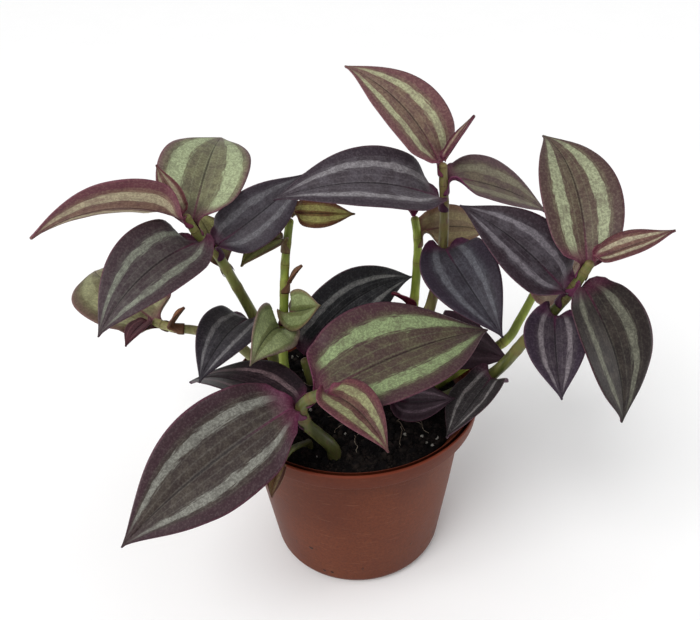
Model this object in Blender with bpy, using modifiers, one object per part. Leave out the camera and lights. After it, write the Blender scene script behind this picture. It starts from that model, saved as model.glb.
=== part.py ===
"""Potted tradescantia: a plastic nursery pot, its soil, and a clump of clasping-leaved stems.

Frame: origin at the centre of the pot's flat underside, +Z up, the pot's front at -Y.
Blender works in metres; the tables below are in millimetres and degrees.
"""
from math import acos, cos, pi, radians, sin

import bmesh
import bpy
import numpy as np

MM = 0.001
CLEARANCE = 0.3            # gap kept between pieces that touch on the plant

# ---------------------------------------------------------------- pot and soil
POT_HEIGHT = 59.5
RIM_RADIUS = 38.0          # outside, at the top of the collar
COLLAR_FOOT_RADIUS = 37.2  # outside, at the collar's lower edge
COLLAR_DEPTH = 5.6         # from the rim down to the collar's lower edge
SHOULDER_RADIUS = 33.6     # outside of the wall just under the collar
BASE_RADIUS = 27.1
BASE_ROUND = 4.0           # radius of the corner between wall and underside
WALL = 1.3
FLOOR = 1.8
LIP = 0.5                  # rounding of the rim and of the collar's lower edge
POT_STEPS = 56
HOLE_COUNT = 6
HOLE_RADIUS = 2.6
HOLE_RING = 17.0           # distance of the drainage holes from the axis
SOIL_TOP = 54.6
SOIL_CROWN = 0.7           # the soil's middle stands this much higher
SOIL_EDGE_DEPTH = 4.7      # from the soil's top down to where its side starts to taper
SOIL_STEPS = 48

# ---------------------------------------------------------------- stems
# Points along each stem, hand placed, from its buried foot to its tip.
STEMS = {
    "stem_front": ((-6, -25, 43), (-6, -25, 55), (-7, -26, 60), (-10, -27, 65),
                   (-13, -29, 71), (-14, -30, 77), (-12, -31, 81), (-8, -32, 84)),
    "stem_rim": ((-13, -22, 48), (-13, -22, 57), (-14, -25, 60), (-16, -28, 62),
                 (-18, -31, 63), (-20, -35, 63)),
    "stem_left_tall": ((-22, 9, 43), (-22, 9, 55), (-26, 12, 66), (-30, 14, 77),
                       (-34, 12, 90), (-38, 9, 103), (-42, 7, 110), (-44, 5, 117)),
    "stem_left_low": ((-25, 4, 43), (-25, 4, 55), (-30, 5, 67), (-38, 6, 75),
                      (-47, 6, 78), (-53, 6, 79), (-59, 7, 81)),
    "stem_back_left": ((-20, 1, 43), (-20, 1, 55), (-21, 5, 69), (-20, 11, 83),
                       (-19, 16, 95), (-17, 20, 107)),
    "stem_back": ((18, 21, 43), (18, 21, 55), (20, 24, 73), (21, 26, 87),
                  (21, 27, 95), (20, 28, 102)),
    "stem_tall": ((21, 16, 43), (21, 16, 55), (23, 19, 68), (25, 20, 75),
                  (27, 20, 86), (28, 20, 96), (28, 20, 108), (27, 20, 123)),
    "stem_right": ((24, -4, 43), (24, -4, 54), (29, -5, 59), (37, -6, 64),
                   (43, -8, 72), (48, -10, 82), (55, -12, 94), (59, -13, 102), (62, -14, 110)),
    "stem_right_back": ((25, 4, 43), (25, 4, 54), (36, 4, 64), (46, 4, 72),
                        (50, 6, 78), (54, 8, 86)),
    "stem_middle": ((-13, 7, 43), (-13, 7, 55), (-14, 8, 60), (-15, 9, 64)),
    "stem_centre": ((4, -8, 43), (4, -8, 55), (7, -9, 60), (11, -11, 63)),
}
# Radius at the foot and at the tip.
STEM_RADII = {
    "stem_front": (2.1, 1.4),
    "stem_rim": (0.9, 0.8),
    "stem_left_tall": (2.1, 1.1),
    "stem_left_low": (1.8, 1.2),
    "stem_back_left": (1.6, 1.2),
    "stem_back": (1.6, 1.2),
    "stem_tall": (2.1, 1.2),
    "stem_right": (2.1, 1.2),
    "stem_right_back": (1.7, 1.2),
    "stem_middle": (1.7, 1.5),
    "stem_centre": (1.5, 1.3),
}
SAMPLES_PER_SPAN = 2

# ---------------------------------------------------------------- leaves
# name, stem, place on the stem (in points), heading, pitch, length, width, droop, sweep, roll.
# Heading is measured from +X towards +Y; pitch is the rise at the base; droop is how far
# the blade bends down by its tip, and sweep how far it turns towards +heading.
LEAVES = (
    ("leaf_front_left", "stem_front", 5.1, -155, -17, 60, 30, 27, -5, 32),
    ("leaf_front_right", "stem_front", 6.3, 27, 16, 57, 35, 33, 5, -12),
    ("leaf_front_young", "stem_front", 7.0, -50, 33, 27, 13, 74, -6, -12),
    ("leaf_over_rim", "stem_rim", 5.0, -110, 0, 10, 6, 60, 0, -15),
    ("leaf_left_crown", "stem_left_tall", 6.2, 80, 35, 48, 27, 55, 10, -10),
    ("leaf_left_reaching", "stem_left_tall", 6.85, -160, 38, 42, 22, 66, 3, -48),
    ("leaf_left_bud", "stem_left_tall", 7.0, 155, 65, 15, 7, 0, -5, 60),
    ("leaf_left_hanging", "stem_left_tall", 5.55, -125, 19, 42, 23, 68, -10, 25),
    ("leaf_left_behind", "stem_left_tall", 4.5, 115, 30, 24, 12, 30, 0, 0),
    ("leaf_left_inner", "stem_left_tall", 5.0, 16, 29, 34, 17, 8, 30, -55),
    ("leaf_left_dark", "stem_left_tall", 2.9, -112, 29, 36, 18, 51, 5, 14),
    ("leaf_low_round", "stem_left_low", 5.6, 150, 25, 44, 28, 50, -40, 15),
    ("leaf_low_magenta", "stem_left_low", 6.0, -110, 20, 14, 7, 35, 5, -5),
    ("leaf_low_amber", "stem_left_low", 4.9, -10, 60, 9, 6, 10, 0, 0),
    ("leaf_rim_left", "stem_front", 4.4, 138, 13, 45, 21, 50, 10, -8),
    ("leaf_middle_back", "stem_middle", 3.0, 41, 44, 46, 24, 55, -15, -65),
    ("leaf_pale_heart", "stem_back_left", 2.4, -98, 50, 32, 16, 65, -10, 50),
    ("leaf_pale_round", "stem_back_left", 2.75, -45, 25, 20, 13, -15, -10, -60),
    ("sheath_dry", "stem_back_left", 3.45, -10, 68, 8, 5, 20, 0, 0),
    ("leaf_back_left_amber", "stem_back_left", 5.0, 0, -5, 19, 9, 0, 5, -65),
    ("leaf_back_left_olive", "stem_back_left", 4.4, -150, 10, 16, 10, 60, -5, 10),
    ("leaf_tall_left", "stem_tall", 6.2, -159, 35, 52, 23, 48, -5, 28),
    ("leaf_tall_top", "stem_tall", 6.93, 149, 66, 40, 21, 55, 0, 20),
    ("leaf_tall_bud", "stem_tall", 7.0, 15, 57, 15, 7, 5, 5, 15),
    ("leaf_tall_right", "stem_tall", 6.55, 12, -11, 36, 18, 30, 0, -25),
    ("leaf_tall_low", "stem_tall", 4.9, -82, 4, 38, 22, 40, 28, -22),
    ("leaf_tall_foot", "stem_tall", 1.8, -47, 6, 32, 18, -5, 0, -60),
    ("leaf_back_olive", "stem_back", 4.0, 22, 5, 26, 14, 40, 5, -55),
    ("leaf_back_bud", "stem_back", 5.0, -117, 66, 9, 4, 25, 0, 0),
    ("leaf_back_low", "stem_back", 1.9, -134, 60, 14, 7, 25, 0, 0),
    ("leaf_right_inner", "stem_right", 6.45, 153, 48, 37, 20, 30, 0, 35),
    ("leaf_right_crown", "stem_right", 7.6, 89, 58, 48, 22, 65, 15, 5),
    ("leaf_right_reaching", "stem_right", 8.0, -15, 29, 21, 10, 0, 5, -15),
    ("leaf_right_hanging", "stem_right", 7.0, -60, -30, 41, 24, 57, 6, -2),
    ("leaf_right_heart", "stem_right", 5.85, -104, -8, 28, 17, 20, 15, -5),
    ("leaf_over_right_rim", "stem_right", 3.5, -122, 2, 30, 16, 7, -3, -21),
    ("leaf_right_back_pale", "stem_right_back", 5.0, -50, 35, 23, 14, -35, 0, -65),
    ("leaf_centre_low", "stem_centre", 3.0, -40, 25, 22, 12, -5, 10, -55),
)
LEAF_THICKNESS = 0.6
SHEATH_LENGTH = 2.8        # the part of a leaf base that clasps the stem below the node
PACE_STEP = 0.3            # of a span, over which the stem's length per span is taken
SHEATH_GAP = 0.5           # between the stem's skin and the sheath's inner face
SHEATH_WRAP = 2.0          # half angle, in radians, that the sheath goes round the stem
THROAT_WRAP = 1.0          # the same at the node, where the blade turns outwards
FOLD = 12.0                # slope of each half of the blade up from the midrib
CUP = 14.0                 # extra curl between midrib and margin
TIP_HALF_WIDTH = 0.4
HALF_COLUMNS = 3
BLADE_PLACES = (0.0, 0.06, 0.13, 0.25, 0.42, 0.62, 0.82, 1.0)
MIDRIB_STEPS = 40
LONGEST_BEND = 3.0         # distance above the node in which the base turns into the blade
ROLL_DONE = 0.22           # share of the blade by which it has rolled
LEVEL_DONE = 0.15          # share by which its width has turned from the stem's to its own
SPREAD_DONE = 0.07         # share by which it has its full width
TERMINAL_WRAP = 0.7        # radius of a furled end's base, as a share of the stem's

# ---------------------------------------------------------------- colours
POT_COLOUR = (0.155, 0.058, 0.033)
SOIL_COLOUR = (0.012, 0.010, 0.009)
STEM_COLOUR = (0.18, 0.24, 0.05)
LEAF_COLOURS = {
    "dark": (0.030, 0.022, 0.032),
    "striped": (0.080, 0.060, 0.065),
    "young": (0.190, 0.150, 0.110),
    "olive": (0.110, 0.100, 0.035),
    "magenta": (0.130, 0.020, 0.060),
    "dry": (0.230, 0.120, 0.060),
}
LEAF_TONES = {
    "young": ("leaf_front_young", "leaf_left_reaching", "leaf_tall_top", "leaf_tall_bud",
              "leaf_right_reaching", "leaf_pale_heart", "leaf_pale_round", "leaf_left_crown"),
    "striped": ("leaf_front_left", "leaf_front_right", "leaf_right_crown", "leaf_tall_right",
                "leaf_right_hanging", "leaf_left_hanging"),
    "olive": ("leaf_over_rim", "leaf_left_behind", "leaf_low_round", "leaf_back_left_olive",
              "leaf_back_olive", "leaf_right_back_pale", "leaf_back_left_amber"),
    "magenta": ("leaf_left_bud", "leaf_low_magenta", "leaf_back_bud", "leaf_back_low"),
    "dry": ("sheath_dry", "leaf_low_amber"),
}


# ---------------------------------------------------------------- helpers
def unit(vector):
    """The vector at length 1."""
    return vector / np.linalg.norm(vector)


def ease(low, high, value):
    """Smooth step from 0 at low to 1 at high."""
    t = min(max((value - low) / (high - low), 0.0), 1.0)
    return t * t * (3 - 2 * t)


def clear_scene():
    for obj in list(bpy.data.objects):
        bpy.data.objects.remove(obj, do_unlink=True)


def make_collection(name):
    collection = bpy.data.collections.new(name)
    bpy.context.scene.collection.children.link(collection)
    return collection


def make_material(name, colour, roughness, metallic=0.0):
    material = bpy.data.materials.new(name)
    material.use_nodes = True
    shader = material.node_tree.nodes["Principled BSDF"]
    shader.inputs["Base Color"].default_value = (*colour, 1.0)
    shader.inputs["Roughness"].default_value = roughness
    shader.inputs["Metallic"].default_value = metallic
    return material


def add_object(name, data, collection, material=None):
    obj = bpy.data.objects.new(name, data)
    collection.objects.link(obj)
    if material is not None:
        data.materials.append(material)
    return obj


def hide_cutter(obj):
    obj.hide_render = True
    obj.display_type = "WIRE"


def cut(target, cutter):
    boolean = target.modifiers.new("cut_" + cutter.name, "BOOLEAN")
    boolean.operation = "DIFFERENCE"
    boolean.solver = "EXACT"
    boolean.object = cutter


# ---------------------------------------------------------------- turned pieces
def turned(name, profile, steps, collection, material):
    """A closed solid from a profile of (radius, height) run down its outer side."""
    mesh = bpy.data.meshes.new(name)
    points = [(radius * MM, 0.0, height * MM) for radius, height in profile]
    edges = [(i, i + 1) for i in range(len(points) - 1)]
    mesh.from_pydata(points, edges, [])
    obj = add_object(name, mesh, collection, material)
    screw = obj.modifiers.new("turn", "SCREW")
    screw.axis = "Z"
    screw.angle = 2 * pi
    screw.steps = steps
    screw.render_steps = steps
    screw.use_merge_vertices = True
    screw.merge_threshold = 0.00005
    screw.use_smooth_shade = True
    return obj


def arc(centre, radius, start, end, count):
    """Points on an arc in the profile's plane, angles in degrees."""
    angles = [radians(start + (end - start) * i / (count - 1)) for i in range(count)]
    return [(centre[0] + radius * cos(a), centre[1] + radius * sin(a)) for a in angles]


def wall_radius(height):
    """Outside radius of the tapered wall below the collar."""
    shoulder = POT_HEIGHT - COLLAR_DEPTH
    return BASE_RADIUS + (SHOULDER_RADIUS - BASE_RADIUS) * height / shoulder


def pot_profile():
    """Down the outside of the collar and wall, across the floor, and up the inside."""
    shoulder = POT_HEIGHT - COLLAR_DEPTH
    inner_shoulder = shoulder + WALL
    outside = [(RIM_RADIUS - LIP, POT_HEIGHT),
               (RIM_RADIUS, POT_HEIGHT - LIP),
               (COLLAR_FOOT_RADIUS, shoulder + LIP),
               (COLLAR_FOOT_RADIUS - LIP, shoulder),
               (SHOULDER_RADIUS, shoulder - LIP)]
    corner = arc((BASE_RADIUS - BASE_ROUND, BASE_ROUND), BASE_ROUND, 0, -90, 4)
    floor = [(0.0, 0.0), (0.0, FLOOR)]
    inside = [(BASE_RADIUS - BASE_ROUND, FLOOR),
              (wall_radius(BASE_ROUND + WALL) - WALL, BASE_ROUND + WALL),
              (SHOULDER_RADIUS - WALL, shoulder - 2 * LIP),
              (COLLAR_FOOT_RADIUS - WALL - LIP, inner_shoulder - 2 * LIP),
              (RIM_RADIUS - WALL - LIP, POT_HEIGHT)]
    return outside + corner + floor + inside + [outside[0]]


def build_pot(parts, cutters):
    pot = turned("pot", pot_profile(), POT_STEPS, parts, make_material("pot", POT_COLOUR, 0.55))
    for index in range(HOLE_COUNT):
        angle = 2 * pi * (index + 0.5) / HOLE_COUNT
        bpy.ops.mesh.primitive_cylinder_add(
            vertices=16, radius=HOLE_RADIUS * MM, depth=4 * FLOOR * MM,
            location=(HOLE_RING * cos(angle) * MM, HOLE_RING * sin(angle) * MM, 0.0))
        hole = bpy.context.object
        hole.name = f"drain_hole_{index}"
        hole.users_collection[0].objects.unlink(hole)
        cutters.objects.link(hole)
        hide_cutter(hole)
        cut(pot, hole)
    return pot


def soil_profile():
    """Slightly crowned top, then down the wall with a small gap to the pot."""
    side = WALL + CLEARANCE
    taper_top = SOIL_TOP - SOIL_EDGE_DEPTH
    taper_foot = BASE_ROUND + 2 * WALL
    return [(0.0, SOIL_TOP + SOIL_CROWN),
            (SHOULDER_RADIUS / 2, SOIL_TOP + SOIL_CROWN / 2),
            (wall_radius(taper_top) - side, SOIL_TOP),
            (wall_radius(taper_top) - side, taper_top),
            (wall_radius(taper_foot) - side - CLEARANCE / 2, taper_foot),
            (BASE_RADIUS - BASE_ROUND - CLEARANCE, FLOOR + CLEARANCE),
            (0.0, FLOOR + CLEARANCE)]


# ---------------------------------------------------------------- stems
def curve_point(points, place):
    """Point and direction on the smooth curve through the points, at a place in points."""
    points = np.asarray(points, float)
    padded = np.vstack([2 * points[0] - points[1], points, 2 * points[-1] - points[-2]])
    span = min(int(place), len(points) - 2)
    t = place - span
    before, start, end, after = padded[span:span + 4]
    linear = end - before
    square = 2 * before - 5 * start + 4 * end - after
    cube = -before + 3 * start - 3 * end + after
    position = 0.5 * (2 * start + linear * t + square * t ** 2 + cube * t ** 3)
    slope = linear + 2 * square * t + 3 * cube * t ** 2
    return position, unit(slope)


def stem_radius(stem, place):
    foot, tip = STEM_RADII[stem]
    return foot + (tip - foot) * place / (len(STEMS[stem]) - 1)


def stem_curve(name, stem, spans, extra, collection, material=None):
    """A tube round the stem's curve, over the given number of spans, wider by extra all round."""
    count = spans * SAMPLES_PER_SPAN + 1
    places = [i / SAMPLES_PER_SPAN for i in range(count)]
    curve = bpy.data.curves.new(name, "CURVE")
    curve.dimensions = "3D"
    curve.bevel_depth = MM
    curve.bevel_resolution = 2
    curve.use_fill_caps = True
    spline = curve.splines.new("POLY")
    spline.points.add(count - 1)
    for point, place in zip(spline.points, places):
        position, along = curve_point(STEMS[stem], place)
        if place == 0:
            position = position - extra * along
        point.co = (*(position * MM), 1.0)
        point.radius = stem_radius(stem, place) + extra
    return add_object(name, curve, collection, material)


def as_mesh(curve_object, collection):
    """Turn a capped tube into one closed mesh object of the same name."""
    bpy.context.view_layer.update()
    graph = bpy.context.evaluated_depsgraph_get()
    mesh = bpy.data.meshes.new_from_object(curve_object.evaluated_get(graph))
    work = bmesh.new()
    work.from_mesh(mesh)
    bmesh.ops.remove_doubles(work, verts=work.verts, dist=0.00001)
    bmesh.ops.recalc_face_normals(work, faces=work.faces)
    work.to_mesh(mesh)
    work.free()
    name = curve_object.name
    bpy.data.objects.remove(curve_object, do_unlink=True)
    return add_object(name, mesh, collection)


def build_stems(parts):
    material = make_material("stem", STEM_COLOUR, 0.45)
    for stem, points in STEMS.items():
        stem_curve(stem, stem, len(points) - 1, 0.0, parts, material)


def build_soil(parts, cutters):
    soil = turned("soil", soil_profile(), SOIL_STEPS, parts, make_material("soil", SOIL_COLOUR, 0.95))
    for stem in STEMS:
        pocket = stem_curve("pocket_" + stem, stem, 2, CLEARANCE, cutters)
        pocket = as_mesh(pocket, cutters)
        hide_cutter(pocket)
        cut(soil, pocket)
    return soil


# ---------------------------------------------------------------- leaves
def blade_profile(fraction):
    """Width along the blade, 1 at its widest, rounded at the base and pointed at the tip."""
    reach = 0.04 + 0.96 * fraction ** 0.75
    return max(sin(pi * reach), 0.0) ** (0.6 + 0.55 * fraction)


def turn_towards(start, end, amount):
    """Direction a given amount of the way round from start to end."""
    angle = acos(min(max(float(start @ end), -1.0), 1.0))
    if angle < 0.0001 or amount >= 1:
        return end
    return (sin((1 - amount) * angle) * start + sin(amount * angle) * end) / sin(angle)


def leaf_rows(stem, place, heading, pitch, length, width, droop, sweep, roll):
    """Rows of points across a leaf, from the foot of its sheath to its tip.

    A leaf at the stem's last point is its furled end: it stands on the tip, with no sheath.
    """
    node, along = curve_point(STEMS[stem], place)
    terminal = place == len(STEMS[stem]) - 1
    bend = min(LONGEST_BEND, 1.0 + 0.1 * length)
    wrap_radius = stem_radius(stem, place) + SHEATH_GAP + LEAF_THICKNESS / 2
    heading_line = np.array([cos(radians(heading)), sin(radians(heading)), 0.0])
    outward = unit(heading_line - (heading_line @ along) * along)
    below = curve_point(STEMS[stem], place - PACE_STEP)[0]
    pace = np.linalg.norm(node - below) / PACE_STEP
    sheath_across = np.cross(outward, along)
    foot = node + wrap_radius * outward
    if terminal:
        wrap_radius = TERMINAL_WRAP * stem_radius(stem, place)
        foot = node + SHEATH_GAP * along + wrap_radius * outward

    def direction(distance):
        fraction = min(max(distance / length, 0.0), 1.0)
        compass = radians(heading + sweep * fraction)
        rise = radians(pitch - droop * fraction)
        free = np.array([cos(rise) * cos(compass), cos(rise) * sin(compass), sin(rise)])
        return turn_towards(along, free, ease(-0.5, bend, distance)), compass

    step = length / MIDRIB_STEPS
    midrib = [foot]
    for index in range(MIDRIB_STEPS):
        midrib.append(midrib[-1] + step * direction((index + 0.5) * step)[0])
    midrib = np.array(midrib)

    rows = []
    distances = [place * length for place in BLADE_PLACES]
    if not terminal:
        distances = [-SHEATH_LENGTH, -SHEATH_LENGTH / 2] + distances
    for distance in distances:
        fraction = max(distance, 0.0) / length
        forward, compass = direction(distance)
        clasp = sheath_across
        if distance < 0:
            spot, forward = curve_point(STEMS[stem], place + distance / pace)
            away = unit(heading_line - (heading_line @ forward) * forward)
            centre = spot + wrap_radius * away
            clasp = np.cross(away, forward)
        else:
            index = distance / step
            low = min(int(index), MIDRIB_STEPS - 1)
            centre = midrib[low] + (index - low) * (midrib[low + 1] - midrib[low])
        level = np.array([sin(compass), -cos(compass), 0.0])
        side = clasp if clasp @ level > 0 else -clasp
        tilt = radians(roll) * ease(0.0, ROLL_DONE, fraction)
        level = cos(tilt) * level + sin(tilt) * np.cross(level, forward)
        across = side + (level - side) * ease(0.0, LEVEL_DONE, fraction)
        across = unit(across - (across @ forward) * forward)
        upward = np.cross(across, forward)
        if distance <= 0:
            wrap = SHEATH_WRAP - (SHEATH_WRAP - THROAT_WRAP) * ease(-2.2, 0.2, distance)
            half, curl, slope = wrap * wrap_radius, 1 / wrap_radius, 0.0
        else:
            open_blade = ease(0.0, bend, distance)
            spread = ease(0.0, SPREAD_DONE, fraction)
            full = max(width / 2 * blade_profile(fraction), TIP_HALF_WIDTH)
            half = min(wrap_radius, width / 2) * (1 - spread) + full * spread
            curl = (1 - open_blade) / wrap_radius + open_blade * radians(CUP) / (width / 2)
            slope = radians(FOLD) * open_blade * (1 - 0.5 * fraction)
        row = []
        for column in range(-HALF_COLUMNS, HALF_COLUMNS + 1):
            reach = half * abs(column) / HALF_COLUMNS
            sideways = (sin(slope + curl * reach) - sin(slope)) / curl
            height = (cos(slope) - cos(slope + curl * reach)) / curl
            row.append(centre + np.sign(column) * sideways * across + height * upward)
        rows.append(row)
    return np.array(rows)


def leaf_tone(name):
    for tone, names in LEAF_TONES.items():
        if name in names:
            return tone
    return "dark"


def build_leaf(name, rows, parts, material):
    """A thin closed blade: the grid of rows, thickened."""
    work = bmesh.new()
    grid = [[work.verts.new(point * MM) for point in row] for row in rows]
    for lower, upper in zip(grid[:-1], grid[1:]):
        for index in range(len(lower) - 1):
            work.faces.new((lower[index], lower[index + 1], upper[index + 1], upper[index]))
    mesh = bpy.data.meshes.new(name)
    work.to_mesh(mesh)
    work.free()
    mesh.shade_smooth()
    leaf = add_object(name, mesh, parts, material)
    thicken = leaf.modifiers.new("thickness", "SOLIDIFY")
    thicken.thickness = LEAF_THICKNESS * MM
    thicken.offset = 0.0
    return leaf


def build_leaves(parts):
    for name, *growth in LEAVES:
        material = make_material(name, LEAF_COLOURS[leaf_tone(name)], 0.4)
        build_leaf(name, leaf_rows(*growth), parts, material)


def main():
    clear_scene()
    parts = make_collection("potted_tradescantia")
    cutters = make_collection("cutters")
    build_pot(parts, cutters)
    build_soil(parts, cutters)
    build_stems(parts)
    build_leaves(parts)


main()
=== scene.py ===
# %% [markdown]
# # A potted tradescantia
# A tradescantia is grown for its leaves: purple-brown, with two silver-green bands that run
# from the base to the tip. Here a clump of eleven stems stands in a small plastic nursery
# pot. The CAD part gives every piece its place and size. This lesson gives them their looks,
# and nothing in it moves or resizes the CAD part.

# %% Load the fixed frame
from math import acos, cos, pi, radians, sin

import bpy
import numpy as np
from mathutils import Matrix, Vector


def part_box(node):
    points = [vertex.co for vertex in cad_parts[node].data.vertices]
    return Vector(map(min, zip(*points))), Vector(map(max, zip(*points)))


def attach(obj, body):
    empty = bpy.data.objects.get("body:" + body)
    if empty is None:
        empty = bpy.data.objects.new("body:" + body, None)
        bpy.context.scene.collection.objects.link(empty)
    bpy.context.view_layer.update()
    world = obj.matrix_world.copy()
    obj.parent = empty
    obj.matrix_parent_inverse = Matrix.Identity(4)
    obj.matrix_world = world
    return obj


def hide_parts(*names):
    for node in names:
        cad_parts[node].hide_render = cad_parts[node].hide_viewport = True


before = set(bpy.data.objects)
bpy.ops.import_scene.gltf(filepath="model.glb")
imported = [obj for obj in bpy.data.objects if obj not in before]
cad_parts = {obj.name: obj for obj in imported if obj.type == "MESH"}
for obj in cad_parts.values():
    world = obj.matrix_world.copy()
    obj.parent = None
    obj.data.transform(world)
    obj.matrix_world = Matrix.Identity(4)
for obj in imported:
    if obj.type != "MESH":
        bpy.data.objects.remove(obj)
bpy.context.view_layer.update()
MM = 0.001
print("CAD nodes:", len(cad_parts))

# %% [markdown]
# ## Camera
# A plant this small is looked at from just above, so the camera stands in front of the pot
# and about forty degrees up. It leans by two degrees, as a hand-held one does. It comes
# first, because everything after it is judged through it. Sizes in this lesson are in
# millimetres and are multiplied by MM when they reach Blender, which works in metres.

# %% Camera
CAMERA_PLACE = (0.0, -199.4, 225.1)
CAMERA_PITCH = 55.4        # degrees up from looking straight down
CAMERA_TURN = 0.1
CAMERA_LEAN = -1.9
SENSOR_WIDTH = 36.0
LENS = 43.7

camera = bpy.data.objects.new("camera", bpy.data.cameras.new("camera"))
bpy.context.scene.collection.objects.link(camera)
camera.data.sensor_width = SENSOR_WIDTH
camera.data.lens = LENS
camera.data.clip_start = 0.01
turn = Matrix.Rotation(radians(CAMERA_TURN), 4, "Z")
pitch = Matrix.Rotation(radians(CAMERA_PITCH), 4, "X")
lean = Matrix.Rotation(radians(CAMERA_LEAN), 4, "Z")
camera.matrix_world = Matrix.Translation(Vector(CAMERA_PLACE) * MM) @ turn @ pitch @ lean
bpy.context.scene.camera = camera
print("camera height:", round(camera.location.z, 4), "m")

# %% [markdown]
# ## Light and floor
# Soft studio light suits a plant: it fills the gaps between the leaves and keeps their
# colours true. A bright white world gives about half of it. The other half is a sun above
# the left shoulder, as wide as a window, which lights the whole floor evenly and draws the
# soft highlights on the leaves. Two small low lamps lighten the sides of the pot. The floor
# is a plain pale sheet.

# %% Light and floor
WORLD_LIGHT = 0.56
LAMPS = (
    ("key_lamp", "SUN", (-0.45, -0.55, 0.95), radians(38), 1.84),
    ("left_lamp", "AREA", (-0.60, -0.05, 0.10), 0.30, 1.3),
    ("right_lamp", "AREA", (0.60, -0.05, 0.10), 0.30, 0.9),
)
LIGHT_AIM = (0.0, 0.0, 0.06)
FLOOR_SIZE = 6.0

bpy.context.scene.view_settings.view_transform = "Standard"
world = bpy.data.worlds.new("studio")
world.use_nodes = True
world.node_tree.nodes["Background"].inputs["Color"].default_value = (1.0, 1.0, 1.0, 1.0)
world.node_tree.nodes["Background"].inputs["Strength"].default_value = WORLD_LIGHT
bpy.context.scene.world = world
for lamp_name, lamp_kind, lamp_place, lamp_spread, lamp_power in LAMPS:
    lamp = bpy.data.lights.new(lamp_name, lamp_kind)
    if lamp_kind == "SUN":
        lamp.angle = lamp_spread
    else:
        lamp.size = lamp_spread
    lamp.energy = lamp_power
    holder = bpy.data.objects.new(lamp_name, lamp)
    holder.location = lamp_place
    aim = Vector(LIGHT_AIM) - Vector(lamp_place)
    holder.rotation_euler = aim.to_track_quat("-Z", "Y").to_euler()
    bpy.context.scene.collection.objects.link(holder)
bpy.ops.mesh.primitive_plane_add(size=FLOOR_SIZE)
floor = bpy.context.object
floor.name = "floor"
print("lamps:", len(LAMPS))

# %% [markdown]
# ## Node trees written as sums
# Both the finishes and the shapes below are node trees. A node tree is easier to read as a
# sum than as a list of links, so Wire stands for one node's output and knows how to add,
# subtract, multiply and divide: each sign adds the Math node that does it. Tree adds any
# other node in one call, and takes its settings before its inputs, because some settings
# change which inputs the node has.

# %% Wires
class Wire:
    """The output of a node. Sums of wires and numbers add their own Math nodes."""

    def __init__(self, tree, socket):
        self.tree = tree
        self.socket = socket

    def output(self, key):
        """Another output of the same node."""
        return Wire(self.tree, self.socket.node.outputs[key])

    def __add__(self, other):
        return self.tree.maths("ADD", self, other)

    def __radd__(self, other):
        return self.tree.maths("ADD", other, self)

    def __sub__(self, other):
        return self.tree.maths("SUBTRACT", self, other)

    def __rsub__(self, other):
        return self.tree.maths("SUBTRACT", other, self)

    def __mul__(self, other):
        return self.tree.maths("MULTIPLY", self, other)

    def __rmul__(self, other):
        return self.tree.maths("MULTIPLY", other, self)

    def __truediv__(self, other):
        return self.tree.maths("DIVIDE", self, other)

    def __pow__(self, other):
        return self.tree.maths("POWER", self, other)

    def __abs__(self):
        return self.tree.maths("ABSOLUTE", self)

    def rise(self, low, high):
        """A smooth step from 0 at low to 1 at high."""
        ends = {"Value": self, "From Min": low, "From Max": high}
        return self.tree.node("ShaderNodeMapRange", {"interpolation_type": "SMOOTHSTEP"}, ends)

    def fall(self, low, high):
        """A smooth step from 1 at low to 0 at high."""
        return 1 - self.rise(low, high)


print("Wire can rise and fall")

# %% Trees
class Tree:
    """A node tree, and short ways to add nodes to it."""

    def __init__(self, group):
        self.group = group

    def feed(self, socket, value):
        if isinstance(value, Wire):
            self.group.links.new(value.socket, socket)
        else:
            socket.default_value = value

    def node(self, kind, settings, inputs, output=0):
        made = self.group.nodes.new(kind)
        for key, value in settings.items():
            setattr(made, key, value)
        for key, value in inputs.items():
            self.feed(made.inputs[key], value)
        return Wire(self, made.outputs[output])

    def maths(self, operation, *values):
        return self.node("ShaderNodeMath", {"operation": operation}, dict(enumerate(values)))

    def vector(self, x, y, z):
        return self.node("ShaderNodeCombineXYZ", {}, {"X": x, "Y": y, "Z": z})

    def scaled(self, vector, factor):
        inputs = {0: vector, "Scale": factor}
        return self.node("ShaderNodeVectorMath", {"operation": "SCALE"}, inputs)

    def noise(self, where, scale, detail=2.0, roughness=0.5, seed=0.0):
        inputs = {"Vector": where, "W": seed, "Scale": scale, "Detail": detail,
                  "Roughness": roughness}
        return self.node("ShaderNodeTexNoise", {"noise_dimensions": "4D"}, inputs)

    def mix(self, factor, first, second):
        """A colour between first and second."""
        # The sockets for colours come after those for numbers and vectors.
        inputs = {0: factor, 6: first, 7: second}
        return self.node("ShaderNodeMix", {"data_type": "RGBA"}, inputs, 2)


print("Tree adds nodes")

# %% [markdown]
# ## Finishes
# A Finish is a material whose tree ends in a Principled shader. Colours are given as
# painters' values from 0 to 255, which tint() turns into the linear light that Blender
# mixes. What changes over a surface goes in by wire; what is the same all over is set on
# the shader itself.

# %% Finishes
def tint(red, green, blue):
    """A colour of 0 to 255 steps, as linear light."""
    steps = [value / 255 for value in (red, green, blue)]
    return (*(v / 12.92 if v < 0.04045 else ((v + 0.055) / 1.055) ** 2.4 for v in steps), 1.0)


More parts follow.
